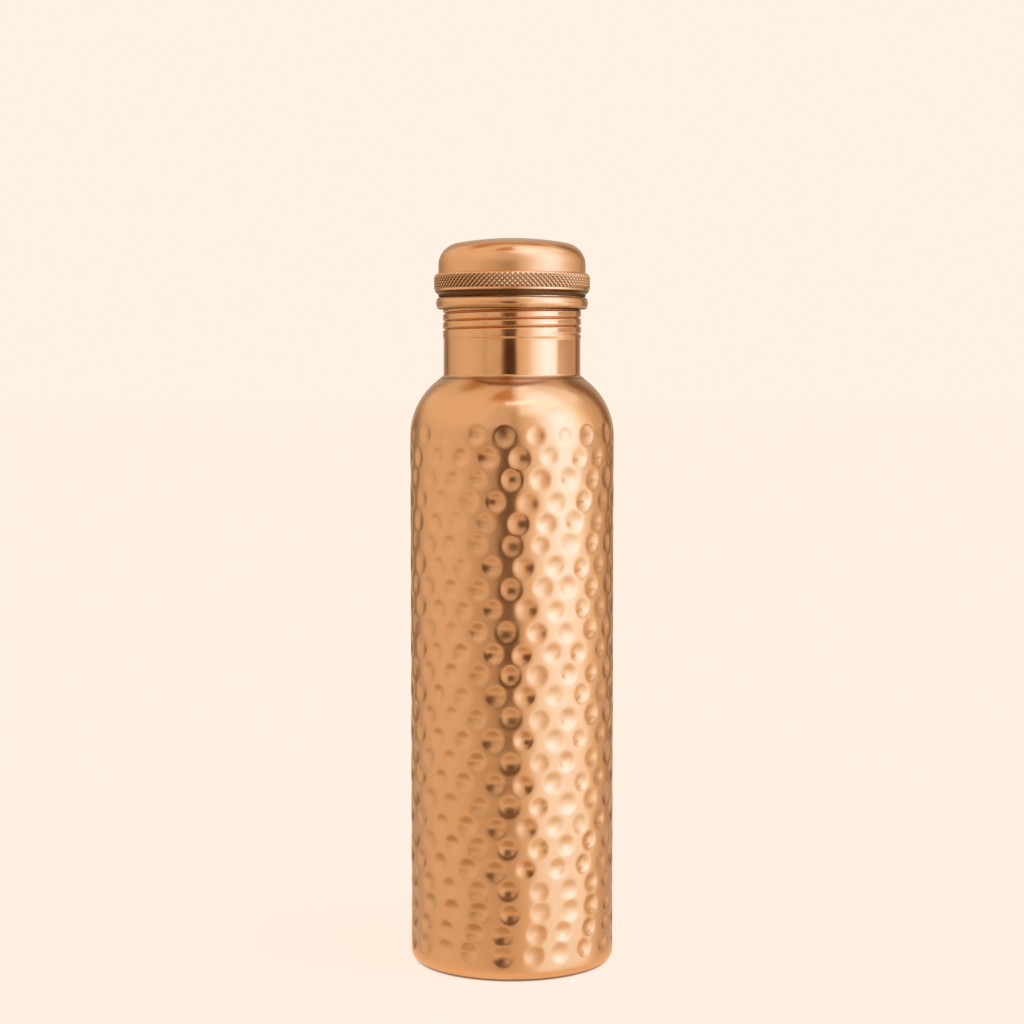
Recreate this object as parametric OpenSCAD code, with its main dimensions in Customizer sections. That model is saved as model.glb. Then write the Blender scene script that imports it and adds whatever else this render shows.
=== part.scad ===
// Copper water bottle, about one litre, with a screw cap.
// Origin at the centre of the foot ring, +Z up the axis of the bottle, millimetres.
// The neck thread and the cap thread are one right-handed helix with a constant radial gap,
// so the cap stays in step with the neck while it turns and rises.

/* [Body] */
// Outside diameter of the straight barrel
body_d = 76; // [68:0.5:90]
// Height of the straight barrel, where the shoulder begins
barrel_h = 197; // [80:0.5:280]
// Radius of the lower shoulder arc
shoulder_r = 26; // [20:0.1:32]
// Angle that the lower arc turns through
shoulder_a = 48.5; // [40:0.5:60]
// Radius of the flatter arc from there to the neck
shoulder_top_r = 70; // [40:1:120]
// Outside radius of the rounded foot
foot_r = 3.2; // [2.5:0.1:6]
// Thickness of the drawn sheet
sheet_t = 0.7; // [0.5:0.05:1]
// Width of the foot flange that is turned in under the base disc
flange_w = 3; // [2:0.1:5]
// Rise of the dished panel in the base disc
dish_h = 3; // [1:0.1:5]
// Width of the sloping step round that panel
dish_step_w = 4.5; // [3:0.1:8]
// Height of the lip that is turned up inside the neck
throat_lip_h = 5; // [3:0.1:8]
// Radius of the brazed fillet at the root of the neck
root_fillet_r = 1; // [0.8:0.1:1.8]

/* [Neck] */
// Outside diameter of the plain neck
neck_d = 51; // [44:0.5:56]
// Wall of the neck tube
neck_wall = 1.25; // [1.1:0.05:1.5]
// Height of the plain stretch below the visible thread
neck_plain_h = 14.2; // [6:0.1:30]
// Height of the visible thread below the stop ring
neck_thread_h = 9.9; // [6:0.1:20]
// Height of the thread that the cap screws on to
mouth_thread_h = 12; // [10:0.1:14]
// Height of the smooth rim above the thread
rim_h = 1.5; // [1.2:0.1:2]
// Rounding of the rim that one drinks from
rim_round_r = 0.5; // [0.2:0.05:0.6]

/* [Thread] */
// Rise of the thread in one turn
thread_pitch = 3; // [2.5:0.1:3.5]
// Depth from crest to root
thread_depth = 0.76; // [0.6:0.02:0.8]
// How far the crest stands proud of the plain neck
crest_rise = 0.26; // [0.1:0.02:0.4]
// Radial gap between the neck thread and the cap thread
thread_gap = 0.3; // [0.25:0.01:0.35]

/* [Stop ring] */
// How far the ring stands out of the neck
stop_w = 2.8; // [2.4:0.05:4]
// Height of the ring
stop_h = 4.2; // [3:0.1:5]
// How far its outer face bulges
stop_bulge = 0.7; // [0.3:0.05:1.2]

/* [Cap] */
// Height of the crown above the rim of the neck
crown_h = 8.5; // [8:0.1:10]
// Thickness of the cap shell
cap_wall = 0.7; // [0.5:0.05:0.9]
// Radius of the domed crown
crown_r = 115; // [90:1:160]
// Radius of the cap's upper corner
corner_r = 8.2; // [6.8:0.1:8.6]
// Gap between the closed cap and the stop ring
skirt_gap = 0.4; // [0.2:0.05:0.8]
// Thinnest wall of the thread ring inside the cap
thread_ring_wall = 0.6; // [0.5:0.02:1.2]
// Height of the thread ring
thread_ring_h = 9.8; // [5:0.1:9.8]
// How far the thread ring sits above the edge of the skirt
thread_ring_rise = 0.4; // [0.2:0.05:0.8]
// Thickness of the disc that the gasket bears on
liner_t = 0.8; // [0.5:0.05:1]

/* [Grip ring] */
// How far the knurled band stands out of the cap
grip_w = 1.65; // [1:0.05:3]
// Height of the whole grip ring
grip_h = 7.8; // [7:0.1:9]
// How far the grip ring sits above the edge of the skirt
grip_rise = 0.8; // [0.1:0.05:1]
// Height of the smooth lip under the knurled band
grip_lip_h = 0.9; // [0.8:0.05:1.5]
// Height of the chamfer under the lip
grip_chamfer_h = 1.3; // [1:0.05:1.6]
// Radius of the rounded upper edge
grip_round_r = 2; // [1.5:0.1:2.2]

/* [Gasket] */
// How far the silicone ring stands back from the outside of the neck
gasket_inset = 0.3; // [0.2:0.05:0.6]
// Width of the silicone ring
gasket_w = 6.3; // [4:0.1:8]
// Thickness of the silicone ring
gasket_t = 2; // [1.6:0.1:2]
// Gap between the gasket and the surfaces above and below it
gasket_gap = 0.1; // [0.05:0.01:0.15]

/* [Hidden] */
$fn = 96;

arc_steps = 14;      // straight pieces in one arc of an outline
thread_sides = 40;   // corners round a threaded surface
thread_rows = 6;     // rows of facets in one turn of the thread
overlap = 0.3;       // how far joined or cut shapes run into each other
lip_inset = 0.2;     // how far the grip ring's smooth lip stands back from its band

copper = [0.86, 0.60, 0.42];
bright_copper = [0.90, 0.66, 0.48];
dark_copper = [0.70, 0.44, 0.28];
silicone = [0.90, 0.89, 0.86];

// Radii of the body and neck
body_r = body_d / 2;
neck_r = neck_d / 2;
bore_r = neck_r - neck_wall;
flange_r = body_r - foot_r - flange_w;
shoulder_cr = body_r - shoulder_r;

// Centre of the upper shoulder arc, which carries on from the lower one without a bend
top_cr = shoulder_cr - (shoulder_top_r - shoulder_r) * cos(shoulder_a);
top_cz = barrel_h - (shoulder_top_r - shoulder_r) * sin(shoulder_a);

// The root fillet touches the upper arc and the neck
fillet_dr = neck_r + root_fillet_r - top_cr;
fillet_dz = sqrt(pow(shoulder_top_r + root_fillet_r, 2) - pow(fillet_dr, 2));
fillet_a = atan2(fillet_dz, fillet_dr);
seat_z = top_cz + fillet_dz;

// Heights up the neck
neck_thread_z = seat_z + neck_plain_h;
stop_z = neck_thread_z + neck_thread_h;
mouth_thread_z = stop_z + stop_h;
rim_z = mouth_thread_z + mouth_thread_h;
mouth_z = rim_z + rim_h;

// Thread surface: mean radius of the neck thread and the height of a groove on the +X side
thread_r = neck_r + crest_rise - thread_depth / 2;
groove_z = neck_thread_z + thread_pitch / 4;

// The rim is no wider than the root of the thread, so the cap's thread passes over it
rim_r = thread_r - thread_depth / 2;

// Cap
cap_r = thread_r + thread_depth / 2 + thread_gap + thread_ring_wall + cap_wall;
skirt_z = mouth_thread_z + skirt_gap;
crown_z = mouth_z + crown_h;
corner_cr = cap_r - corner_r;
corner_cz = crown_z - crown_r + sqrt(pow(crown_r - corner_r, 2) - pow(corner_cr, 2));
corner_a = atan2(corner_cz - crown_z + crown_r, corner_cr);
gasket_r = neck_r - gasket_inset;
gasket_z = mouth_z + gasket_gap;
liner_z = gasket_z + gasket_t + gasket_gap;
liner_r = corner_cr + sqrt(pow(corner_r - cap_wall, 2) - pow(liner_z + liner_t - corner_cz, 2));
grip_r = cap_r + grip_w;
grip_z = skirt_z + grip_rise;

// Points along an arc in the outline plane, from angle a0 to angle a1
function arc(cr, cz, r, a0, a1) =
    [for (i = [0 : arc_steps]) let (a = a0 + (a1 - a0) * i / arc_steps) [cr + r * cos(a), cz + r * sin(a)]];

// Radius of the thread surface at height z and angle a
function thread_surface(mean_r, z, a) =
    mean_r - thread_depth / 2 * cos(360 * (z - groove_z) / thread_pitch - a);

// A solid rod from z0 to z1 whose side is the thread surface
module threaded_rod(mean_r, z0, z1) {
    rows = ceil((z1 - z0) / thread_pitch * thread_rows);
    n = thread_sides;
    points = [for (i = [0 : rows], j = [0 : n - 1])
        let (z = z0 + (z1 - z0) * i / rows, a = 360 * j / n, r = thread_surface(mean_r, z, a))
        [r * cos(a), r * sin(a), z]];
    lower = [for (i = [0 : rows - 1], j = [0 : n - 1])
        [i * n + j, (i + 1) * n + j, (i + 1) * n + (j + 1) % n]];
    upper = [for (i = [0 : rows - 1], j = [0 : n - 1])
        [i * n + j, (i + 1) * n + (j + 1) % n, i * n + (j + 1) % n]];
    ends = [[for (j = [0 : n - 1]) j], [for (j = [n - 1 : -1 : 0]) rows * n + j]];
    polyhedron(points = points, faces = concat(lower, upper, ends));
}

// Drawn barrel, rounded foot, shoulder and the lip that stands inside the neck
module body_shell() {
    inner_top_r = shoulder_top_r - sheet_t;
    lip_r = bore_r - sheet_t;
    outside = concat(
        [[flange_r, 0]],
        arc(body_r - foot_r, foot_r, foot_r, -90, 0),
        arc(shoulder_cr, barrel_h, shoulder_r, 0, shoulder_a),
        arc(top_cr, top_cz, shoulder_top_r, shoulder_a, fillet_a),
        arc(neck_r + root_fillet_r, seat_z, root_fillet_r, 180 + fillet_a, 180));
    throat = [[bore_r, seat_z], [bore_r, seat_z + throat_lip_h], [lip_r, seat_z + throat_lip_h]];
    inside = concat(
        arc(top_cr, top_cz, inner_top_r, acos((lip_r - top_cr) / inner_top_r), shoulder_a),
        arc(shoulder_cr, barrel_h, shoulder_r - sheet_t, shoulder_a, 0),
        arc(body_r - foot_r, foot_r, foot_r - sheet_t, 0, -90),
        [[flange_r, sheet_t]]);
    color(copper)
        rotate_extrude()
            polygon(concat(outside, throat, inside));
}

// Dished disc that lies on the foot flange
module base_disc() {
    rim_r = body_r - foot_r;
    step_r = flange_r - overlap;
    panel_r = step_r - dish_step_w;
    panel_z = sheet_t + dish_h;
    color(dark_copper)
        rotate_extrude()
            polygon([
                [0, panel_z], [panel_r, panel_z], [step_r, sheet_t], [rim_r, sheet_t],
                [rim_r, 2 * sheet_t], [step_r, 2 * sheet_t],
                [panel_r, panel_z + sheet_t], [0, panel_z + sheet_t]]);
}

// Neck tube with a thread below and above the stop ring and a smooth rim
module neck_collar() {
    color(bright_copper)
        difference() {
            union() {
                translate([0, 0, seat_z])
                    cylinder(r = neck_r, h = neck_plain_h);
                threaded_rod(thread_r, neck_thread_z - overlap, stop_z);
                translate([0, 0, stop_z])
                    cylinder(r = neck_r, h = stop_h);
                threaded_rod(thread_r, mouth_thread_z, rim_z + overlap);
                rim();
            }
            translate([0, 0, seat_z - overlap])
                cylinder(r = bore_r, h = mouth_z - seat_z + 2 * overlap);
        }
}

// Smooth rim of the mouth, rounded on its outer edge
module rim() {
    rotate_extrude()
        polygon(concat(
            [[bore_r - overlap, rim_z], [rim_r, rim_z]],
            arc(rim_r - rim_round_r, mouth_z - rim_round_r, rim_round_r, 0, 90),
            [[bore_r - overlap, mouth_z]]));
}

// Ring brazed round the neck, just below the cap, with a bulging outer face
module stop_ring() {
    half = stop_h / 2;
    face_r = (pow(half, 2) + pow(stop_bulge, 2)) / (2 * stop_bulge);
    face_a = asin(half / face_r);
    color(bright_copper)
        rotate_extrude()
            polygon(concat(
                [[neck_r, stop_z]],
                arc(neck_r + stop_w - face_r, stop_z + half, face_r, -face_a, face_a),
                [[neck_r, stop_z + stop_h]]));
}

// Spun cap: plain skirt, rounded corner and low crown
module cap_shell() {
    color(copper)
        rotate_extrude()
            polygon(concat(
                [[cap_r - cap_wall, skirt_z], [cap_r, skirt_z]],
                arc(corner_cr, corner_cz, corner_r, 0, corner_a),
                arc(0, crown_z - crown_r, crown_r, corner_a, 90),
                arc(0, crown_z - crown_r, crown_r - cap_wall, 90, corner_a),
                arc(corner_cr, corner_cz, corner_r - cap_wall, corner_a, 0)));
}

// Ring pressed on to the skirt: chamfer, smooth lip and the band that carries the knurl
module cap_grip_ring() {
    lip_r = grip_r - lip_inset;
    lip_z = grip_z + grip_chamfer_h;
    band_z = lip_z + grip_lip_h;
    top_z = grip_z + grip_h;
    color(dark_copper)
        rotate_extrude()
            polygon(concat(
                [[cap_r, grip_z], [cap_r + lip_inset, grip_z], [lip_r, lip_z], [lip_r, band_z - lip_inset]],
                [[grip_r, band_z]],
                arc(grip_r - grip_round_r, top_z - grip_round_r, grip_round_r, 0, 60),
                [[cap_r, top_z]]));
}

// Ring inside the skirt that carries the cap's thread
module cap_thread_ring() {
    z0 = skirt_z + thread_ring_rise;
    color(dark_copper)
        difference() {
            translate([0, 0, z0])
                cylinder(r = cap_r - cap_wall, h = thread_ring_h);
            threaded_rod(thread_r + thread_gap, z0 - overlap, z0 + thread_ring_h + overlap);
        }
}

// Flat disc under the crown, the face that the gasket bears on
module cap_liner() {
    color(copper)
        translate([0, 0, liner_z])
            cylinder(r = liner_r, h = liner_t);
}

// Flat silicone ring between the rim and the liner
module cap_gasket() {
    color(silicone)
        translate([0, 0, gasket_z])
            difference() {
                cylinder(r = gasket_r, h = gasket_t);
                translate([0, 0, -overlap])
                    cylinder(r = gasket_r - gasket_w, h = gasket_t + 2 * overlap);
            }
}

body_shell();
base_disc();
neck_collar();
stop_ring();
cap_shell();
cap_grip_ring();
cap_thread_ring();
cap_liner();
cap_gasket();
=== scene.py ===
import math
import random

import bmesh
import bpy
import numpy as np
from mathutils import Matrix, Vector, noise


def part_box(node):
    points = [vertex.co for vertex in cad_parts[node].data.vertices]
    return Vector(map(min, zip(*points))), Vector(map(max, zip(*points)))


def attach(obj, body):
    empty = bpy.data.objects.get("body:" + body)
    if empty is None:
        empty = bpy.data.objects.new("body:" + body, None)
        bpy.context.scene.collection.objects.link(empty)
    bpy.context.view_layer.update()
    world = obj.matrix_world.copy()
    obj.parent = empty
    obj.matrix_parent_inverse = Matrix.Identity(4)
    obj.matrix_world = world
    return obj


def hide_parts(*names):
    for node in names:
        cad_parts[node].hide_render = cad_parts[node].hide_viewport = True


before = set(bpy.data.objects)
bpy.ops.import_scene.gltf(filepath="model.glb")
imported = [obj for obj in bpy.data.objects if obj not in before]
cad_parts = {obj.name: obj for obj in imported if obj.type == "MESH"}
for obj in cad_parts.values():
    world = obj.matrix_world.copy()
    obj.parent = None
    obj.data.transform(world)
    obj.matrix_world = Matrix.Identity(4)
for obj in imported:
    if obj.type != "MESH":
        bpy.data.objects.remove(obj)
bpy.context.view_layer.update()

# ---------------------------------------------------------------- sizes, in metres
MM = 0.001
TURN = 2 * math.pi
AXIS_R = 0.02 * MM        # an outline that closes on the axis stops this far from it

body_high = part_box("body_shell")[1]
neck_low, neck_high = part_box("neck_collar")
stop_low, stop_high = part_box("stop_ring")
shell_low, shell_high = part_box("cap_shell")
grip_low, grip_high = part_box("cap_grip_ring")
insert_low, insert_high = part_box("cap_thread_ring")
liner_low, liner_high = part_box("cap_liner")
gasket_low, gasket_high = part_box("cap_gasket")
disc_low, disc_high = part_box("base_disc")

# Body
BODY_R = body_high.x
BARREL_TOP = 197 * MM
SHOULDER_R = 26 * MM
SHOULDER_A = math.radians(48.5)
SHOULDER_TOP_R = 70 * MM
FOOT_R = 3.2 * MM
SHEET = 0.7 * MM
FLANGE_W = 3 * MM
ROOT_R = 1 * MM
FLANGE_R = BODY_R - FOOT_R - FLANGE_W
SHOULDER_CR = BODY_R - SHOULDER_R
TOP_CR = SHOULDER_CR - (SHOULDER_TOP_R - SHOULDER_R) * math.cos(SHOULDER_A)
TOP_CZ = BARREL_TOP - (SHOULDER_TOP_R - SHOULDER_R) * math.sin(SHOULDER_A)

# Neck
CREST_RISE = 0.26 * MM
PITCH = 3 * MM
THREAD_DEPTH = 0.76 * MM
THREAD_GAP = 0.3 * MM
NECK_R = neck_high.x - CREST_RISE
BORE_R = NECK_R - 1.25 * MM
SEAT_Z = neck_low.z
MOUTH_Z = neck_high.z
THREAD_Z = SEAT_Z + 14.2 * MM
STOP_Z = stop_low.z
MOUTH_THREAD_Z = stop_high.z
RIM_Z = MOUTH_Z - 1.5 * MM
GROOVE_Z = THREAD_Z + PITCH / 4

# Cap
CAP_R = shell_high.x
CAP_WALL = 0.7 * MM
SKIRT_Z = shell_low.z
CROWN_Z = shell_high.z
CROWN_R = 115 * MM
CORNER_R = 8.2 * MM
GRIP_R = grip_high.x

# Hammered dents
DENT_ROWS = 25
DENTS_PER_ROW = 21
FIRST_ROW_Z = 198 * MM
LAST_ROW_Z = 9.5 * MM
DENT_R = 3.95 * MM
DENT_DEPTH = 0.66 * MM
DENT_RADII = (0.88, 1.07)       # the least and the greatest, as shares of DENT_R
DENT_DEPTHS = (0.75, 1.2)       # the same, as shares of DENT_DEPTH
DENT_SHIFT = 0.08               # how far a dent stands off its place in the row, as a share of the gap
DENT_LIFT = 0.6                 # how far it stands above or below its row, in mm
FRONT = -math.pi / 2            # the side that faces the camera
# How far each row's middle dent stands off the front, in degrees, from the top row down
ROW_TURNS = [-4, 5, -1, 9, 3, -1, 6, -1, 7, -2, 6, -2, 7, -1, 7, -2, 7, -1, 8, -2, 8, -2, -1, -4, -6]

# Knurl
KNURLS = 96
KNURL_DEPTH = 0.6 * MM


# ---------------------------------------------------------------- meshes of revolution
def line(a, b, step):
    """Points from a to b, without b, no more than step apart."""
    n = max(1, math.ceil(math.dist(a, b) / step))
    return [(a[0] + (b[0] - a[0]) * i / n, a[1] + (b[1] - a[1]) * i / n) for i in range(n)]


def arc(cr, cz, radius, a0, a1, step):
    """Points along an arc from angle a0 to angle a1, without the last one."""
    n = max(2, math.ceil(radius * abs(a1 - a0) / step))
    angles = [a0 + (a1 - a0) * i / n for i in range(n)]
    return [(cr + radius * math.cos(a), cz + radius * math.sin(a)) for a in angles]


def outline_normals(points):
    """Unit normals of an outline, to the right of its direction of travel."""
    tangent = np.gradient(points, axis=0)
    tangent /= np.linalg.norm(tangent, axis=1)[:, None]
    return np.stack([tangent[:, 1], -tangent[:, 0]], 1)


def smooth_step(x):
    """0 up to x = 0 and 1 from x = 1 on, with a soft change between them."""
    x = np.clip(x, 0, 1)
    return x * x * (3 - 2 * x)


def unevenness(points, columns, size, depth, seed):
    """A slow, seeded waviness, as hand polishing leaves, one value per point and column."""
    made = np.zeros((len(points), columns))
    offset = Vector([seed * step for step in (7.3, 3.1, 1.7)])
    for i, (r, z) in enumerate(points):
        for j in range(columns):
            a = TURN * j / columns
            place = Vector((r * math.cos(a), r * math.sin(a), z)) / size
            made[i, j] = noise.noise(place + offset) * depth
    return made


def revolve(points, columns, rise=None, darkening=None):
    """Vertices, quads and darkening of an outline turned round the Z axis.

    rise moves each vertex along the normal; darkening says how dark the copper is there, from 0 to 1: oxide
    in grooves and joints, and painted shade in recesses and under lips.
    """
    points = np.array(points, float)
    normals = outline_normals(points)
    angles = np.arange(columns) * TURN / columns
    plain = np.zeros((len(points), columns))
    rise = plain if rise is None else rise
    r = points[:, :1] + rise * normals[:, :1]
    z = points[:, 1:] + rise * normals[:, 1:]
    verts = np.stack([r * np.cos(angles), r * np.sin(angles), z + 0 * angles], 2).reshape(-1, 3)
    quads = []
    for i in range(len(points) - 1):
        low, high = i * columns, (i + 1) * columns
        for j in range(columns):
            k = (j + 1) % columns
            quads.append((low + j, low + k, high + k, high + j))
    darkening = plain if darkening is None else darkening + plain
    return verts, quads, darkening.ravel()


def new_object(name, data):
    """An object that holds this data, in the scene."""
    made = bpy.data.objects.new(name, data)
    bpy.context.scene.collection.objects.link(made)
    return made


def ring_edges(bm, ring):
    """The edges of a closed ring of vertices."""
    return [bm.edges.get((ring[i - 1], ring[i])) for i in range(len(ring))]


def closed_piece(name, *surfaces, sharp=35):
    """One closed mesh from open surfaces of revolution: their open ends are joined in the order given.

    An edge shows as a crease where it bends by more than sharp, in degrees.
    """
    bm = bmesh.new()
    oxide_and_shade = bm.verts.layers.float.new("oxide_and_shade")
    rims = []
    for verts, quads, darkening in surfaces:
        made = [bm.verts.new(v) for v in verts]
        for vert, amount in zip(made, darkening):
            vert[oxide_and_shade] = amount
        for quad in quads:
            bm.faces.new([made[i] for i in quad])
        bm.edges.ensure_lookup_table()
        columns = next(q[3] - q[0] for q in quads)
        rims.append([ring_edges(bm, made[:columns]), ring_edges(bm, made[-columns:])])
    for this, after in zip(rims, rims[1:] + rims[:1]):
        bmesh.ops.bridge_loops(bm, edges=this[1] + after[0])
    bmesh.ops.recalc_face_normals(bm, faces=bm.faces)
    mesh = bpy.data.meshes.new(name)
    bm.to_mesh(mesh)
    bm.free()
    mesh.shade_smooth()
    mesh.set_sharp_from_angle(angle=math.radians(sharp))
    return new_object(name, mesh)


def place(piece, body, node, slot, material):
    """The piece rides on a body, stands for a CAD node, and takes the given material; slot is not used."""
    piece.data.materials.append(material)
    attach(piece, body)
    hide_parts(node)
    return piece


# ---------------------------------------------------------------- materials
# Noise scales: roughly how many clouds, smears, lines or marks there are in a metre
CLOUD_SCALE = 28
SMEAR_SCALE = 90
LINE_SCALE = 40
LINE_STRETCH = 90         # the lines are this many times closer along the axis than round it
MARK_SCALE = 260
MOTTLE_SCALE = 400
LINE_DEPTH = 0.02 * MM
MARK_DEPTH = 0.12 * MM
MOTTLE_DEPTH = 0.02 * MM


def node_material(name, base, roughness):
    """A material of one colour and roughness, and its shader."""
    material = bpy.data.materials.new(name)
    material.use_nodes = True
    shader = material.node_tree.nodes["Principled BSDF"]
    shader.inputs["Base Color"].default_value = (*base, 1)
    shader.inputs["Roughness"].default_value = roughness
    return material, shader


def bare_material(name):
    """A material with no nodes in it yet, and its tree."""
    material = bpy.data.materials.new(name)
    material.use_nodes = True
    material.node_tree.nodes.clear()
    return material, material.node_tree


def feed(tree, socket, value):
    """Link the socket to the value if that is a socket too, and otherwise set it."""
    if isinstance(value, bpy.types.NodeSocket):
        tree.links.new(value, socket)
    else:
        socket.default_value = value


def add(tree, kind, **inputs):
    """A new node with its inputs fed: each is given by its name, or by its number as i0, i1 and so on."""
    made = tree.nodes.new(kind)
    for key, value in inputs.items():
        numbered = key[0] == "i" and key[1:].isdigit()
        feed(tree, made.inputs[int(key[1:]) if numbered else key.replace("_", " ")], value)
    return made


def object_place(tree):
    """The place on the object, in metres."""
    return tree.nodes.new("ShaderNodeTexCoord").outputs["Object"]


def math_node(tree, operation, *values):
    made = tree.nodes.new("ShaderNodeMath")
    made.operation = operation
    for socket, value in zip(made.inputs, values):
        feed(tree, socket, value)
    return made.outputs[0]


def mix_colour(tree, factor, a, b, blend="MIX"):
    made = tree.nodes.new("ShaderNodeMix")
    made.data_type = "RGBA"
    made.blend_type = blend
    # this node has its colours at 6 and 7, after the sockets of its other data types
    for number, value in ((0, factor), (6, a), (7, b)):
        feed(tree, made.inputs[number], value)
    return made.outputs[2]


def ranged(tree, value, low, high, to_low, to_high):
    """to_low at low and to_high at high, in proportion between them and level beyond them."""
    made = add(
        tree, "ShaderNodeMapRange",
        Value=value, From_Min=low, From_Max=high, To_Min=to_low, To_Max=to_high)
    return made.outputs[0]


def ranged_softly(tree, value, low, high):
    """0 at low and 1 at high, with a soft change between them."""
    made = add(tree, "ShaderNodeMapRange", Value=value, From_Min=low, From_Max=high)
    made.interpolation_type = "SMOOTHSTEP"
    return made.outputs[0]


def copper(name, base, tarnish, roughness, scratch=0.0, beaten=0.0, satin_below=None, satin=0.15):
    """Polished copper, with cloudy tarnish, uneven polish, and a darkening read from the mesh: oxide in its
    grooves and painted shade in recesses and under lips.

    scratch and beaten are the strengths of the fine lines and of the small marks that hammering leaves.
    Below the height satin_below the polish is rougher by satin.
    """
    material, shader = node_material(name, base, roughness)
    tree = material.node_tree
    shader.inputs["Metallic"].default_value = 1
    at = object_place(tree)
    clouds = add(tree, "ShaderNodeTexNoise", Vector=at, Scale=CLOUD_SCALE, Detail=5, Roughness=0.6)
    clouded = ranged(tree, clouds.outputs[0], 0.35, 0.75, 0, 0.35)
    colour = mix_colour(tree, clouded, (*base, 1), (*tarnish, 1))
    oxide_and_shade = tree.nodes.new("ShaderNodeAttribute")
    oxide_and_shade.attribute_name = "oxide_and_shade"
    colour = mix_colour(tree, oxide_and_shade.outputs["Fac"], colour, (*OXIDE_AND_SHADE, 1))
    tree.links.new(colour, shader.inputs["Base Color"])
    smears = add(tree, "ShaderNodeTexNoise", Vector=at, Scale=SMEAR_SCALE, Detail=3, Roughness=0.5)
    polish = ranged(tree, smears.outputs[0], 0.3, 0.7, roughness * 0.85, roughness * 1.2)
    if satin_below:
        height = add(tree, "ShaderNodeSeparateXYZ", Vector=at).outputs[2]
        duller = ranged(tree, height, satin_below, satin_below + 3 * MM, satin, 0)
        polish = math_node(tree, "ADD", polish, duller)
    rough = math_node(tree, "MULTIPLY_ADD", oxide_and_shade.outputs["Fac"], OXIDE_AND_SHADE_ROUGHNESS, polish)
    tree.links.new(rough, shader.inputs["Roughness"])
    if scratch:
        tree.links.new(turned_surface(tree, at, scratch, beaten), shader.inputs["Normal"])
    return material


def turned_surface(tree, at, scratch, beaten):
    """Fine lines that run round the axis, whichever way the outline leans, over hammered marks."""
    x, y, z = add(tree, "ShaderNodeSeparateXYZ", Vector=at).outputs
    squares = [math_node(tree, "POWER", side, 2.0) for side in (x, y)]
    from_axis = math_node(tree, "SQRT", math_node(tree, "ADD", *squares))
    along = math_node(tree, "MULTIPLY", math_node(tree, "SUBTRACT", z, from_axis), LINE_STRETCH)
    turned = add(tree, "ShaderNodeCombineXYZ", X=x, Y=y, Z=along).outputs[0]
    lines = add(tree, "ShaderNodeTexNoise", Vector=turned, Scale=LINE_SCALE, Detail=2).outputs[0]
    bump = add(tree, "ShaderNodeBump", Strength=scratch, Distance=LINE_DEPTH, Height=lines)
    if beaten:
        marks = add(tree, "ShaderNodeTexNoise", Vector=at, Scale=MARK_SCALE, Detail=1).outputs[0]
        uneven = add(tree, "ShaderNodeBump", Strength=beaten, Distance=MARK_DEPTH, Height=marks)
        tree.links.new(uneven.outputs[0], bump.inputs["Normal"])
    return bump.outputs[0]


def silicone():
    """Milky silicone, which lets a little light in, with a faint mottle."""
    material, shader = node_material("milky_silicone", (0.80, 0.78, 0.73), 0.45)
    tree = material.node_tree
    shader.inputs["Subsurface Weight"].default_value = 0.15
    shader.inputs["Subsurface Radius"].default_value = (0.002, 0.0016, 0.0012)
    at = object_place(tree)
    mottle = add(tree, "ShaderNodeTexNoise", Vector=at, Scale=MOTTLE_SCALE, Detail=3).outputs[0]
    bump = add(tree, "ShaderNodeBump", Strength=0.2, Distance=MOTTLE_DEPTH, Height=mottle)
    tree.links.new(bump.outputs[0], shader.inputs["Normal"])
    tree.links.new(ranged(tree, mottle, 0.3, 0.7, 0.4, 0.55), shader.inputs["Roughness"])
    return material


COPPER = (0.95, 0.56, 0.36)
TARNISH = (0.86, 0.44, 0.24)
# the colour of oxide, also used as painted shade in recesses and under lips
OXIDE_AND_SHADE = (0.10, 0.048, 0.02)
OXIDE_AND_SHADE_ROUGHNESS = 0.2           # where the darkening, oxide and painted shade alike, is full, the copper is rougher by this much
hammered_copper = copper(
    "hammered_copper", COPPER, TARNISH, 0.14,
    scratch=0.2, beaten=0.25, satin_below=BARREL_TOP + 2 * MM, satin=0.07)
polished_copper = copper("polished_copper", COPPER, TARNISH, 0.12, scratch=0.2)
ring_copper = copper("ring_copper", COPPER, TARNISH, 0.18, scratch=0.2)
spun_copper = copper("spun_copper", COPPER, TARNISH, 0.18, scratch=0.3, satin_below=CROWN_Z - CORNER_R)
knurled_copper = copper("knurled_copper", (1.0, 0.61, 0.41), COPPER, 0.14)
dull_copper = copper("dull_copper", (0.85, 0.45, 0.28), (0.7, 0.32, 0.18), 0.34, scratch=0.5)
gasket_silicone = silicone()


# ---------------------------------------------------------------- hammered body
def dents():
    """Every dent as (angle, height along the outline, radius, depth): staggered rows, each row turned as
    given.
    """
    rng = random.Random(11)
    gap = TURN / DENTS_PER_ROW
    for row in range(DENT_ROWS):
        z = FIRST_ROW_Z + (LAST_ROW_Z - FIRST_ROW_Z) * row / (DENT_ROWS - 1)
        start = FRONT + math.radians(ROW_TURNS[row])
        for i in range(DENTS_PER_ROW):
            yield (
                start + i * gap + rng.uniform(-DENT_SHIFT, DENT_SHIFT) * gap,
                z + rng.uniform(-DENT_LIFT, DENT_LIFT) * MM,
                DENT_R * rng.uniform(*DENT_RADII),
                DENT_DEPTH * rng.uniform(*DENT_DEPTHS))


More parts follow.
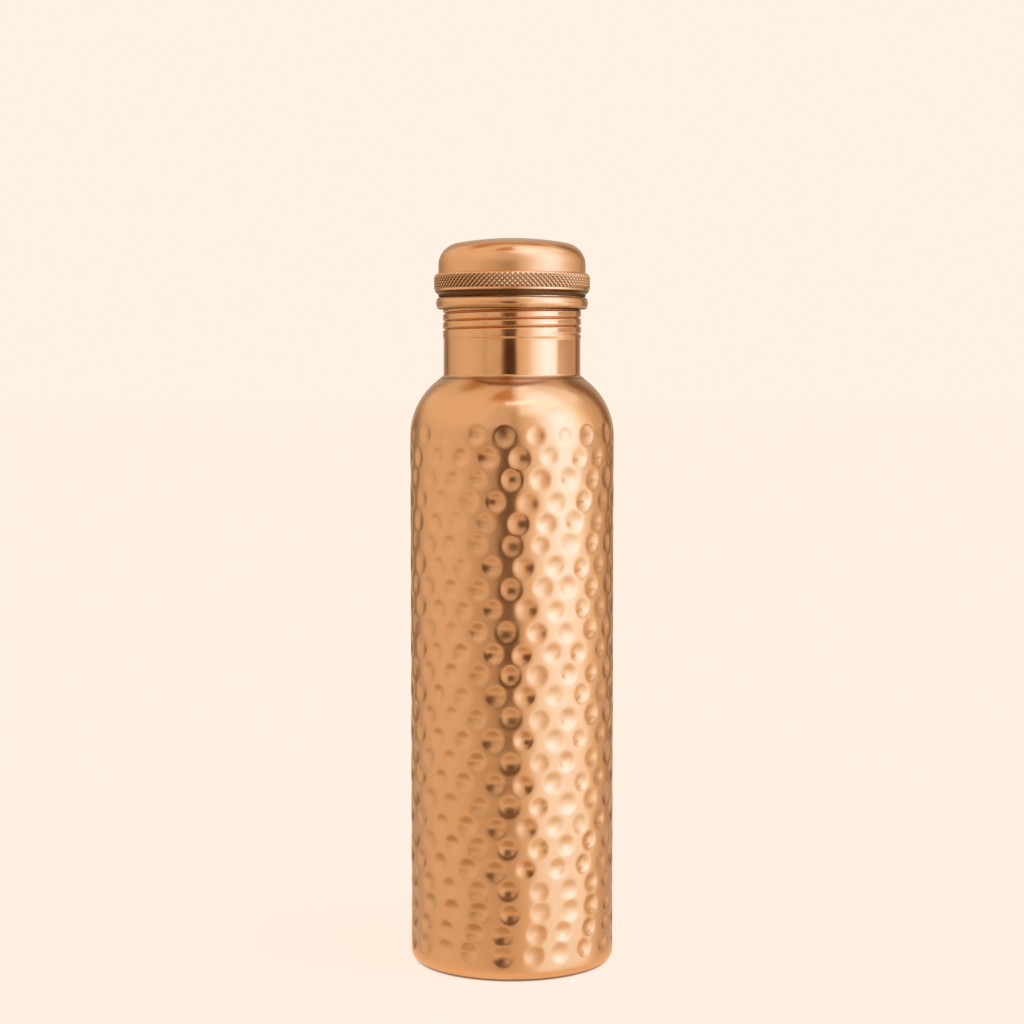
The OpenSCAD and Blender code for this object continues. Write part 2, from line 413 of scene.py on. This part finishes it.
def dent_field(points, columns):
    """How far the hammer has moved each vertex along its normal: crisp bowls in shallow soft dishes."""
    reach = 1.6           # how far from its middle a dent is worked out, in dent radii
    dish_depth = 0.06     # the dish's depth, as a share of the bowl's
    dish_r = 0.95         # the dish's radius, in dent radii
    points = np.array(points, float)
    steps = np.linalg.norm(np.diff(points, axis=0), axis=1)
    travel = np.concatenate([[0], np.cumsum(steps)])
    level = np.argmin(np.abs(points[:, 1] - BARREL_TOP / 2))
    height = np.abs(travel - travel[level]) * np.sign(points[:, 1] - points[level, 1]) + points[level, 1]
    angles = np.arange(columns) * TURN / columns
    crisp = np.zeros((len(points), columns))
    soft = np.zeros((len(points), columns))
    for angle, z, radius, depth in dents():
        rows = np.where(np.abs(height - z) < reach * radius)[0]
        across = (angles - angle + math.pi) % TURN - math.pi
        cols = np.where(np.abs(across) * BODY_R < reach * radius)[0]
        distance = np.hypot(height[rows][:, None] - z, across[cols][None] * BODY_R) / radius
        bowl = depth * np.clip(1 - distance ** 2, 0, None) ** 1.3
        window = np.ix_(rows, cols)
        crisp[window] = np.maximum(crisp[window], bowl)
        soft[window] += dish_depth * depth * np.exp(-(distance / dish_r) ** 4)
    return -(crisp + soft)


def body_outline_outside():
    end = math.asin((SEAT_Z - TOP_CZ) / (SHOULDER_TOP_R + ROOT_R))
    dented = 0.3          # the angle on the shoulder's arc that the dents reach up to
    plain_step = 1.4 * MM
    return (
        line((FLANGE_R, 0), (BODY_R - FOOT_R, 0), 1.5 * MM)
        + arc(BODY_R - FOOT_R, FOOT_R, FOOT_R, -math.pi / 2, 0, 0.8 * MM)
        + line((BODY_R, FOOT_R), (BODY_R, BARREL_TOP), 0.81 * MM)
        + arc(SHOULDER_CR, BARREL_TOP, SHOULDER_R, 0, dented, 0.77 * MM)
        + arc(SHOULDER_CR, BARREL_TOP, SHOULDER_R, dented, SHOULDER_A, plain_step)
        + arc(TOP_CR, TOP_CZ, SHOULDER_TOP_R, SHOULDER_A, end, plain_step)
        + arc(NECK_R + ROOT_R, SEAT_Z, ROOT_R, math.pi + end, math.pi, 0.3 * MM)
        + [(NECK_R, SEAT_Z), (BORE_R, SEAT_Z), (BORE_R, body_high.z)])


def body_outline_inside():
    inner = SHOULDER_TOP_R - SHEET
    lip_r = BORE_R - SHEET
    start = math.acos((lip_r - TOP_CR) / inner)
    shoulder_step = 3 * MM
    return (
        [(lip_r, body_high.z)]
        + arc(TOP_CR, TOP_CZ, inner, start, SHOULDER_A, shoulder_step)
        + arc(SHOULDER_CR, BARREL_TOP, SHOULDER_R - SHEET, SHOULDER_A, 0, shoulder_step)
        + line((BODY_R - SHEET, BARREL_TOP), (BODY_R - SHEET, FOOT_R), 4 * MM)
        + arc(BODY_R - FOOT_R, FOOT_R, FOOT_R - SHEET, 0, -math.pi / 2, 1 * MM)
        + [(BODY_R - FOOT_R, SHEET), (FLANGE_R, SHEET)])


def body_shell():
    outside, inside = body_outline_outside(), body_outline_inside()
    columns, inner_columns = 320, 96
    height = np.array(outside)[:, 1:]
    # the shoulder above the dents is smoother than the barrel
    hammered = 0.3 + 0.7 * smooth_step((BARREL_TOP + 8 * MM - height) / (10 * MM))
    rise = dent_field(outside, columns) + unevenness(outside, columns, 7 * MM, 0.05 * MM, 1) * hammered
    rise[-3:] = 0         # the seat under the neck and the throat stay true
    seam = 0.5 * np.exp(-((height - SEAT_Z + 1.5 * MM) / (0.35 * MM)) ** 2)
    # painted shade: the shoulder darkens towards the neck, standing in for the neck's shade and darker
    # reflection there
    root_shade = 0.16 * smooth_step((height - BARREL_TOP - 13 * MM) / (7 * MM)) * (height < SEAT_Z)
    # the inside is travelled the other way, so its normals point inwards and the dents stand out
    bulge = -dent_field(inside, inner_columns)
    return closed_piece(
        "body_shell_hammered",
        revolve(outside, columns, rise, seam + root_shade),
        revolve(inside, inner_columns, bulge))


# ---------------------------------------------------------------- threads
def thread_rise(points, columns, low, high):
    """How far a threaded stretch stands out of the neck, and where its grooves are, from 0 to 1.

    The crests are broad, and the narrow grooves run out at the ends.
    """
    groove_width = 0.11   # in pitches
    z = np.array(points, float)[:, 1:]
    angles = np.arange(columns)[None] * TURN / columns
    turns = (z - GROOVE_Z) / PITCH - angles / TURN
    from_groove = turns - np.round(turns)
    groove_z = z - from_groove * PITCH
    fade_in = smooth_step((groove_z - low) / (0.25 * PITCH))
    fade_out = smooth_step((high - groove_z) / (0.1 * PITCH))
    groove = np.exp(-(np.abs(from_groove) / groove_width) ** 2.2) * (fade_in * fade_out)
    land = smooth_step((z - low + 0.6 * PITCH) / (0.5 * PITCH)) * (z < high)
    return CREST_RISE * land - THREAD_DEPTH * groove, groove


def neck_outline():
    rim = 0.5 * MM
    rim_r = NECK_R + CREST_RISE - THREAD_DEPTH
    plain_step, thread_step = 1.2 * MM, 0.15 * MM
    return (
        line((NECK_R, SEAT_Z), (NECK_R, THREAD_Z - PITCH), plain_step)
        + line((NECK_R, THREAD_Z - PITCH), (NECK_R, STOP_Z), thread_step)
        + line((NECK_R, STOP_Z), (NECK_R, MOUTH_THREAD_Z), plain_step)
        + line((NECK_R, MOUTH_THREAD_Z), (NECK_R, RIM_Z), thread_step)
        + [(NECK_R, RIM_Z + 0.05 * MM)]
        + line((rim_r, RIM_Z + 0.1 * MM), (rim_r, MOUTH_Z - rim), 0.4 * MM)
        + arc(rim_r - rim, MOUTH_Z - rim, rim, 0, math.pi / 2, 0.1 * MM)
        + arc(BORE_R + rim, MOUTH_Z - rim, rim, math.pi / 2, math.pi, 0.1 * MM)
        + line((BORE_R, MOUTH_Z - rim), (BORE_R, SEAT_Z), 4 * MM)
        + [(BORE_R, SEAT_Z)])


def neck_collar():
    columns = 240
    points = neck_outline()
    flat = np.array(points)
    # only the straight outside is cut: the outline from its start until it first leaves the neck's radius
    outer = np.cumsum(flat[:, 0] != NECK_R) == 0
    below, below_groove = thread_rise(points, columns, THREAD_Z + 0.06 * PITCH, STOP_Z + PITCH)
    above, above_groove = thread_rise(points, columns, MOUTH_THREAD_Z - PITCH, RIM_Z)
    z = flat[:, 1:]
    rise = np.where(z <= STOP_Z, below, np.where(z >= MOUTH_THREAD_Z, above, 0)) * outer[:, None]
    rise += unevenness(points, columns, 6 * MM, 0.02 * MM, 2) * outer[:, None]
    groove = np.where(z <= STOP_Z, below_groove, above_groove)
    corner = np.exp(-((z - STOP_Z) / (0.35 * MM)) ** 2)
    darkening = np.clip(0.35 * groove ** 1.5 + 0.7 * corner, 0, 1) * outer[:, None]
    return closed_piece("neck_collar_threaded", revolve(points, columns, rise, darkening), sharp=50)


def thread_ring():
    columns = 192
    low, high = insert_low.z, insert_high.z
    outer_r = insert_high.x
    inner_r = NECK_R + THREAD_GAP
    inside = line((inner_r, high), (inner_r, low), 0.2 * MM) + [(inner_r, low)]
    outside = [(outer_r, low), (outer_r, high)]
    # travelled downwards on the inside, the normal points to the axis
    cut = -thread_rise(inside, columns, low - PITCH, high + PITCH)[0]
    rise = np.vstack([cut, np.zeros((len(outside), columns))])
    return closed_piece("cap_thread_ring_turned", revolve(inside + outside, columns, rise), sharp=50)


# ---------------------------------------------------------------- plain turned pieces
def stop_ring():
    columns = 240
    half = (MOUTH_THREAD_Z - STOP_Z) / 2
    bulge = 0.7 * MM
    blunt = 0.15 * MM     # the edges of the round face are broken by this much
    face_r = (half ** 2 + bulge ** 2) / (2 * bulge)
    face_a = math.asin(half / face_r)
    start, end = blunt / face_r - face_a, face_a - blunt / face_r
    edge = stop_high.x - bulge - blunt
    points = (
        [(NECK_R, STOP_Z), (edge, STOP_Z)]
        + arc(stop_high.x - face_r, STOP_Z + half, face_r, start, end, 0.3 * MM)
        + [(edge, MOUTH_THREAD_Z), (NECK_R, MOUTH_THREAD_Z)])
    rise = unevenness(points, columns, 8 * MM, 0.02 * MM, 3)
    z = np.array(points)[:, 1:]
    # painted shadow at the top of the bead, under the cap's lip; the bead is also darker at its foot
    lip_shadow = smooth_step((z - MOUTH_THREAD_Z + 1.1 * MM) / (1.1 * MM))
    darkening = 0.65 * lip_shadow + 0.4 * smooth_step((STOP_Z + 0.5 * MM - z) / (0.5 * MM))
    darkening[:2] = 1         # the hidden corner with the neck
    return closed_piece("stop_ring_turned", revolve(points, columns, rise, darkening))


def cap_shell():
    columns = 240
    crown_cz = CROWN_Z - CROWN_R
    corner_cr = CAP_R - CORNER_R
    corner_cz = crown_cz + math.sqrt((CROWN_R - CORNER_R) ** 2 - corner_cr ** 2)
    corner_a = math.atan2(corner_cz - crown_cz, corner_cr)
    seam_top = SKIRT_Z + 1.2 * MM   # finer steps up to here give the painted shade in the recess under the grip ring a crisp edge
    tip = math.pi / 2 - 0.0002      # the crown's arc ends this close to the axis, in radians
    outside = (
        line((CAP_R, SKIRT_Z), (CAP_R, seam_top), 0.2 * MM)
        + line((CAP_R, seam_top), (CAP_R, corner_cz), 1 * MM)
        + arc(corner_cr, corner_cz, CORNER_R, 0, corner_a, 0.5 * MM)
        + arc(0, crown_cz, CROWN_R, corner_a, tip, 1.5 * MM)
        + [(CROWN_R * math.cos(tip), crown_cz + CROWN_R * math.sin(tip))])
    inside = (
        arc(0, crown_cz, CROWN_R - CAP_WALL, tip, corner_a, 3 * MM)
        + arc(corner_cr, corner_cz, CORNER_R - CAP_WALL, corner_a, 0, 1 * MM)
        + [(CAP_R - CAP_WALL, corner_cz), (CAP_R - CAP_WALL, SKIRT_Z)])
    rise = unevenness(outside, columns, 8 * MM, 0.03 * MM, 4)
    z = np.array(outside)[:, 1:]
    # painted shade on the skirt, in the recess under the grip ring
    recess_shade = 0.95 * (z < grip_low.z + 0.5 * MM)
    return closed_piece("cap_shell_spun", revolve(outside, columns, rise, recess_shade), revolve(inside, columns))


def valley(x):
    """1 at each whole number and 0 halfway between, with straight flanks."""
    off = np.abs(x - np.round(x))
    return np.clip(1 - off / 0.36, 0, 1)


def cap_grip_ring():
    columns = KNURLS * 8
    chamfer, lip, round_r = 1.3 * MM, 0.9 * MM, 2 * MM
    lip_r = GRIP_R - 0.2 * MM
    low, high = grip_low.z, grip_high.z
    lip_z = low + chamfer
    band_z = lip_z + lip
    points = (
        [(CAP_R, low), (CAP_R + 0.2 * MM, low)]
        + line((CAP_R + 0.25 * MM, low + 0.05 * MM), (lip_r, lip_z), 0.3 * MM)
        + line((lip_r, lip_z), (lip_r, band_z - 0.2 * MM), 0.3 * MM)
        + [(lip_r - 0.1 * MM, band_z - 0.15 * MM)]
        + line((GRIP_R, band_z), (GRIP_R, high - round_r), 0.2 * MM)
        + arc(GRIP_R - round_r, high - round_r, round_r, 0, math.radians(60), 0.2 * MM)
        + [(CAP_R + 0.4 * MM, high), (CAP_R, high)])
    z = np.array(points)[:, 1:]
    angles = np.arange(columns)[None] * TURN / columns
    around = angles / TURN * KNURLS
    up = (z - band_z) / (TURN * GRIP_R / KNURLS)
    band_foot = smooth_step((z - band_z + 0.05 * MM) / (0.15 * MM))
    band_top = smooth_step((high - 0.45 * MM - z) / (0.5 * MM))
    banded = band_foot * band_top
    # the two ways of the knurl are cut a little deeper on one side of the ring than on the other
    lean = 0.42 * np.sin(angles - FRONT)
    groove = np.maximum((0.85 + lean) * valley(around + up), (0.85 - lean) * valley(around - up))
    rise = -KNURL_DEPTH * groove * banded
    # painted shade under the lip, a little less of it on the very edge
    under = smooth_step((lip_z + 0.1 * MM - z) / (0.35 * MM))
    under = under * (0.35 + 0.65 * smooth_step((z - low - 0.05 * MM) / (0.3 * MM)))
    foot_of_band = np.exp(-((z - band_z) / (0.2 * MM)) ** 2)
    # oxide settles in the grooves, and painted shade makes the knurl darker on the left side, away from the
    # bright panel
    groove_oxide_and_side_shade = groove ** 1.1 * (1 - 0.35 * np.sin(angles - FRONT))
    darkening = np.clip(groove_oxide_and_side_shade * banded + 0.9 * under + 0.5 * foot_of_band, 0, 1)
    return closed_piece("cap_grip_ring_knurled", revolve(points, columns, rise, darkening), sharp=60)


def cap_liner():
    r, low, high = liner_high.x, liner_low.z, liner_high.z
    chamfer = 0.1 * MM
    under = [(AXIS_R, low), (r * 0.6, low), (r - chamfer, low), (r, low + chamfer)]
    top = [(r, high), (r * 0.6, high), (AXIS_R, high)]
    return closed_piece("cap_liner_disc", revolve(under + top, 120))


def cap_gasket():
    outer, inner = gasket_high.x, gasket_high.x - 6.3 * MM
    low, high = gasket_low.z, gasket_high.z
    soft, step = 0.3 * MM, 0.1 * MM
    points = (
        arc(outer - soft, low + soft, soft, -math.pi / 2, 0, step)
        + arc(outer - soft, high - soft, soft, 0, math.pi / 2, step)
        + arc(inner + soft, high - soft, soft, math.pi / 2, math.pi, step)
        + arc(inner + soft, low + soft, soft, math.pi, 1.5 * math.pi, step))
    return closed_piece("cap_gasket_moulded", revolve(points, 120))


def base_disc():
    rim_r = disc_high.x
    step_r = FLANGE_R - 0.3 * MM
    panel_r = step_r - 4.5 * MM
    low, rise = disc_low.z, disc_high.z - disc_low.z - SHEET
    bend = [
        (panel_r + (step_r - panel_r) * t, low + rise * (1 - smooth_step(t)))
        for t in np.linspace(0, 1, 14)]
    under = [(AXIS_R, low + rise)] + bend + [(rim_r, low)]
    top = [(r, z + SHEET) for r, z in reversed(under)]
    return closed_piece("base_disc_pressed", revolve(under + top, 192))


# ---------------------------------------------------------------- the pieces
place(body_shell(), "bottle", "body_shell", "hammered_copper", hammered_copper)
place(base_disc(), "bottle", "base_disc", "dull_copper", dull_copper)
place(neck_collar(), "bottle", "neck_collar", "polished_copper", polished_copper)
place(stop_ring(), "bottle", "stop_ring", "polished_copper", ring_copper)
place(cap_shell(), "cap", "cap_shell", "polished_copper", spun_copper)
place(cap_grip_ring(), "cap", "cap_grip_ring", "knurled_copper", knurled_copper)
place(thread_ring(), "cap", "cap_thread_ring", "dull_copper", dull_copper)
place(cap_liner(), "cap", "cap_liner", "dull_copper", dull_copper)
place(cap_gasket(), "gasket", "cap_gasket", "silicone", gasket_silicone)


# ---------------------------------------------------------------- camera
CAMERA_DISTANCE = 0.8281
CAMERA_HEIGHT = 0.224
CAMERA_TILT = 3.838       # degrees down from level
CAMERA_LENS = 77.87       # in mm, on a sensor 36 mm wide
camera_data = bpy.data.cameras.new("camera")
camera_data.lens = CAMERA_LENS
camera_data.sensor_width = 36
camera_data.clip_start = 0.01
camera = new_object("camera", camera_data)
camera.location = (0, -CAMERA_DISTANCE, CAMERA_HEIGHT)
camera.rotation_euler = (math.radians(90 - CAMERA_TILT), 0, 0)
bpy.context.scene.camera = camera


# ---------------------------------------------------------------- studio
CREAM = (1.0, 0.88, 0.765)
# Colour of the studio's walls going round: azimuth in degrees from the front, where the camera stands, and
# +90 is the +X side. A pale backdrop behind, a wide even wall on the left that darkens towards the front, a
# bright soft panel on the right, and dark edges between the panels and the backdrop.
WALLS = [
    (-162, (0.54, 0.44, 0.32)),
    (-150, (0.30, 0.22, 0.14)),
    (-139, (0.28, 0.18, 0.09)),
    (-130, (0.52, 0.40, 0.25)),
    (-118, (0.64, 0.52, 0.33)),
    (-100, (0.72, 0.58, 0.38)),
    (-82, (0.76, 0.62, 0.42)),
    (-54, (0.70, 0.56, 0.365)),
    (-40, (0.53, 0.41, 0.245)),
    (-24, (0.42, 0.30, 0.17)),
    (-12, (0.39, 0.28, 0.155)),
    (2, (0.48, 0.36, 0.21)),
    (12, (0.74, 0.60, 0.39)),
    (26, (0.88, 0.76, 0.55)),
    (42, (1.15, 1.32, 1.4)),
    (58, (1.4, 1.65, 2.1)),
    (76, (1.3, 1.5, 1.7)),
    (91, (1.05, 1.05, 0.86)),
    (105, (0.80, 0.66, 0.45)),
    (118, (0.68, 0.52, 0.33)),
    (130, (0.58, 0.44, 0.28)),
    (138, (0.26, 0.15, 0.07)),
    (147, (0.28, 0.18, 0.10)),
    (158, (0.48, 0.38, 0.27)),
    (168, (0.54, 0.44, 0.32)),
]
BELOW = (0.56, 0.44, 0.30)      # this share of the walls' light comes up from under them
ABOVE = (0.80, 0.64, 0.44)      # the colour of the ceiling
WALL_FOOT = (-13, -44)          # the elevations where the walls begin to fade and have faded, in degrees
WALL_TOP = (40, 56)
# Panels, each given by its azimuth and width, elevation and height, softness (all in degrees) and colour:
# first those that fade with the walls, then those laid over everything
WALL_PANELS = [
    (58, 60, -50, 88, 6, (1.02, 1.10, 1.02)),
    (180, 110, -53, 84, 5, (0.60, 0.48, 0.34)),
    (-28, 90, -42, 60, 7, (0.78, 0.60, 0.37)),
    (104, 44, 1.75, 5.5, 3, (0.50, 0.37, 0.24)),
    (-30, 26, 1.75, 5.5, 3, (0.74, 0.60, 0.41)),
    (-18, 36, 31, 40, 9, (0.68, 0.55, 0.38)),
]
PANELS = [
    (-75, 130, -72, 84, 18, (0.42, 0.30, 0.16)),
    (58, 64, -66, 76, 14, (0.86, 0.70, 0.45)),
    (-88, 124, 54, 80, 12, (0.82, 0.67, 0.45)),
    (64, 108, 62, 50, 6, (1.05, 1.08, 0.98)),
    (56, 56, 56, 36, 10, (1.25, 1.42, 1.55)),
    (16, 54, 58, 5, 2, (1.7, 1.7, 1.7)),
    (75, 60, 82, 6, 2, (1.7, 1.6, 1.5)),
    (-165, 120, 62, 16, 8, (0.50, 0.25, 0.07)),
    (-22, 50, 77, 34, 6, (0.56, 0.29, 0.09)),
]


def panels(tree, made, azimuth, elevation, colour):
    """The colour with soft-edged panels laid over it, one after another."""
    for az, width, el, height, soft, panel in made:
        off_az = math_node(tree, "SUBTRACT", azimuth, math.radians(az))
        off_az = math_node(tree, "ABSOLUTE", math_node(tree, "WRAP", off_az, math.pi, -math.pi))
        off_el = math_node(tree, "ABSOLUTE", math_node(tree, "SUBTRACT", elevation, math.radians(el)))
        masks = [
            ranged_softly(tree, off, math.radians(size / 2 + soft), math.radians(size / 2 - soft))
            for off, size in ((off_az, width), (off_el, height))]
        colour = mix_colour(tree, math_node(tree, "MULTIPLY", *masks), colour, (*panel, 1))
    return colour


def studio_world():
    """Walls, panels and a ceiling all round, seen in the copper; the camera itself sees a plain backdrop."""
    world = bpy.data.worlds.new("studio")
    bpy.context.scene.world = world
    world.use_nodes = True
    tree = world.node_tree
    background = tree.nodes["Background"]
    direction = tree.nodes.new("ShaderNodeTexCoord").outputs["Generated"]
    x, y, z = add(tree, "ShaderNodeSeparateXYZ", Vector=direction).outputs
    azimuth = math_node(tree, "ARCTAN2", x, math_node(tree, "MULTIPLY", y, -1.0))
    elevation = math_node(tree, "ARCSINE", z)
    walls = add(tree, "ShaderNodeValToRGB", Fac=ranged(tree, azimuth, -math.pi, math.pi, 0, 1))
    ramp = walls.color_ramp
    ramp.interpolation = "LINEAR"
    while len(ramp.elements) < len(WALLS):
        ramp.elements.new(0.5)
    for stop, (az, colour) in zip(ramp.elements, WALLS):
        stop.position = (az + 180) / 360
        stop.color = (*colour, 1)
    colour = panels(tree, WALL_PANELS, azimuth, elevation, walls.outputs[0])
    low = ranged_softly(tree, elevation, *map(math.radians, WALL_FOOT))
    colour = mix_colour(tree, low, colour, mix_colour(tree, 1.0, colour, (*BELOW, 1), "MULTIPLY"))
    high = ranged_softly(tree, elevation, *map(math.radians, WALL_TOP))
    colour = mix_colour(tree, high, colour, (*ABOVE, 1))
    colour = panels(tree, PANELS, azimuth, elevation, colour)
    seen = tree.nodes.new("ShaderNodeLightPath").outputs["Is Camera Ray"]
    tree.links.new(mix_colour(tree, seen, colour, (*CREAM, 1)), background.inputs["Color"])
    background.inputs["Strength"].default_value = 1


FLOOR_R = 12
FLOOR_Z = -0.2 * MM                     # a hair under the foot
FLOOR_GLOW = (1.0, 0.868, 0.77)
PAINTED_FOOT_SHADOW = (0.25, 0.13, 0.07)         # painted contact shadow in the floor's glow under the foot
PAINTED_FOOT_GLOW = (0.86, 0.64, 0.39)         # painted glow of the floor close to the foot, seen only in reflections
PAINTED_UNDER_FOOT_DARK = (0.05, 0.02, 0.01)        # and painted shade under it, seen only in reflections


def floor():
    """A pale floor that glows a little, so that it runs into the backdrop, with a painted contact shadow
    under the foot and, seen only in reflections, a painted glow beside the foot.
    """
    bm = bmesh.new()
    bmesh.ops.create_circle(bm, cap_ends=True, segments=96, radius=FLOOR_R)
    mesh = bpy.data.meshes.new("floor")
    bm.to_mesh(mesh)
    bm.free()
    made = new_object("floor", mesh)
    made.location = (0, 0, FLOOR_Z)
    material, tree = bare_material("pale_floor")
    away = add(tree, "ShaderNodeVectorMath", i0=object_place(tree))
    away.operation = "LENGTH"
    away = away.outputs["Value"]
    # painted contact shadow: the floor's glow darkens under the foot's edge
    shade = ranged_softly(tree, away, BODY_R - 3 * MM, BODY_R - 0.8 * MM)
    lit = mix_colour(tree, shade, (*PAINTED_FOOT_SHADOW, 1), (*FLOOR_GLOW, 1))
    glow = add(tree, "ShaderNodeEmission", Color=lit, Strength=1.06)
    paper = add(tree, "ShaderNodeBsdfDiffuse", Color=(*CREAM, 1))
    seen = add(tree, "ShaderNodeMixShader", i0=0.16, i1=glow.outputs[0], i2=paper.outputs[0])
    # in reflections only the patch by the foot shows: a painted warm glow standing in for the light that the
    # copper throws on it, painted dark under the foot
    painted_glow = mix_colour(tree, shade, (*PAINTED_UNDER_FOOT_DARK, 1), (*PAINTED_FOOT_GLOW, 1))
    painted_glow_shader = add(tree, "ShaderNodeEmission", Color=painted_glow, Strength=1.0)
    clear = tree.nodes.new("ShaderNodeBsdfTransparent")
    edge = ranged_softly(tree, away, BODY_R + 3 * MM, BODY_R + 20 * MM)
    mirrored = add(tree, "ShaderNodeMixShader", i0=edge, i1=painted_glow_shader.outputs[0], i2=clear.outputs[0])
    glossy = tree.nodes.new("ShaderNodeLightPath").outputs["Is Glossy Ray"]
    mix = add(tree, "ShaderNodeMixShader", i0=glossy, i1=seen.outputs[0], i2=mirrored.outputs[0])
    add(tree, "ShaderNodeOutputMaterial", Surface=mix.outputs[0])
    mesh.materials.append(material)


# The dark card. Across it and up it, the first two numbers are where it is clear and where it is full, and
# the last two are where it is full and where it is clear again, all in metres in the shared frame.
FLAG_Y = -0.8
FLAG_ACROSS = (-0.31, -0.10, 0.06, 0.14)
FLAG_UP = (-0.11, 0.0, 0.30, 0.40)
FLAG_MIDDLE = (0.06, 0.025, 0.008)
FLAG_TOP = (0.45, 0.32, 0.18)           # paler at the top, where the neck and the cap reflect it
FLAG_TOP_Z = (0.262, 0.29)
FLAG_FOOT = (0.10, 0.05, 0.018)         # and a little paler below
FLAG_FOOT_Z = (0.215, 0.17)


def dark_flag():
    """A dark card that stands in the room at about the camera's place, and shows only in reflections.

    It leaves a narrow soft streak down the copper.
    """
    left, left_full, right_full, right = FLAG_ACROSS
    low, low_full, high_full, high = FLAG_UP
    mesh = bpy.data.meshes.new("dark_flag")
    corners = [(left, 0, low), (right, 0, low), (right, 0, high), (left, 0, high)]
    mesh.from_pydata(corners, [], [(0, 1, 2, 3)])
    made = new_object("dark_flag", mesh)
    made.location = (0, FLAG_Y, 0)
    material, tree = bare_material("dark_flag")
    across, _, up = add(tree, "ShaderNodeSeparateXYZ", Vector=object_place(tree)).outputs
    dark = mix_colour(tree, ranged_softly(tree, up, *FLAG_TOP_Z), (*FLAG_MIDDLE, 1), (*FLAG_TOP, 1))
    dark = mix_colour(tree, ranged_softly(tree, up, *FLAG_FOOT_Z), dark, (*FLAG_FOOT, 1))
    shade = add(tree, "ShaderNodeEmission", Color=dark, Strength=1.0)
    clear = tree.nodes.new("ShaderNodeBsdfTransparent")
    sides = [ranged_softly(tree, across, left, left_full), ranged_softly(tree, across, right, right_full)]
    ends = [ranged_softly(tree, up, low, low_full), ranged_softly(tree, up, high, high_full)]
    share = math_node(
        tree, "MULTIPLY", math_node(tree, "MULTIPLY", *sides), math_node(tree, "MULTIPLY", *ends))
    mix = add(tree, "ShaderNodeMixShader", i0=share, i1=clear.outputs[0], i2=shade.outputs[0])
    add(tree, "ShaderNodeOutputMaterial", Surface=mix.outputs[0])
    mesh.materials.append(material)
    made.visible_camera = False
    made.visible_diffuse = False
    made.visible_shadow = False


studio_world()
floor()
dark_flag()
bpy.context.scene.view_settings.view_transform = "Standard"
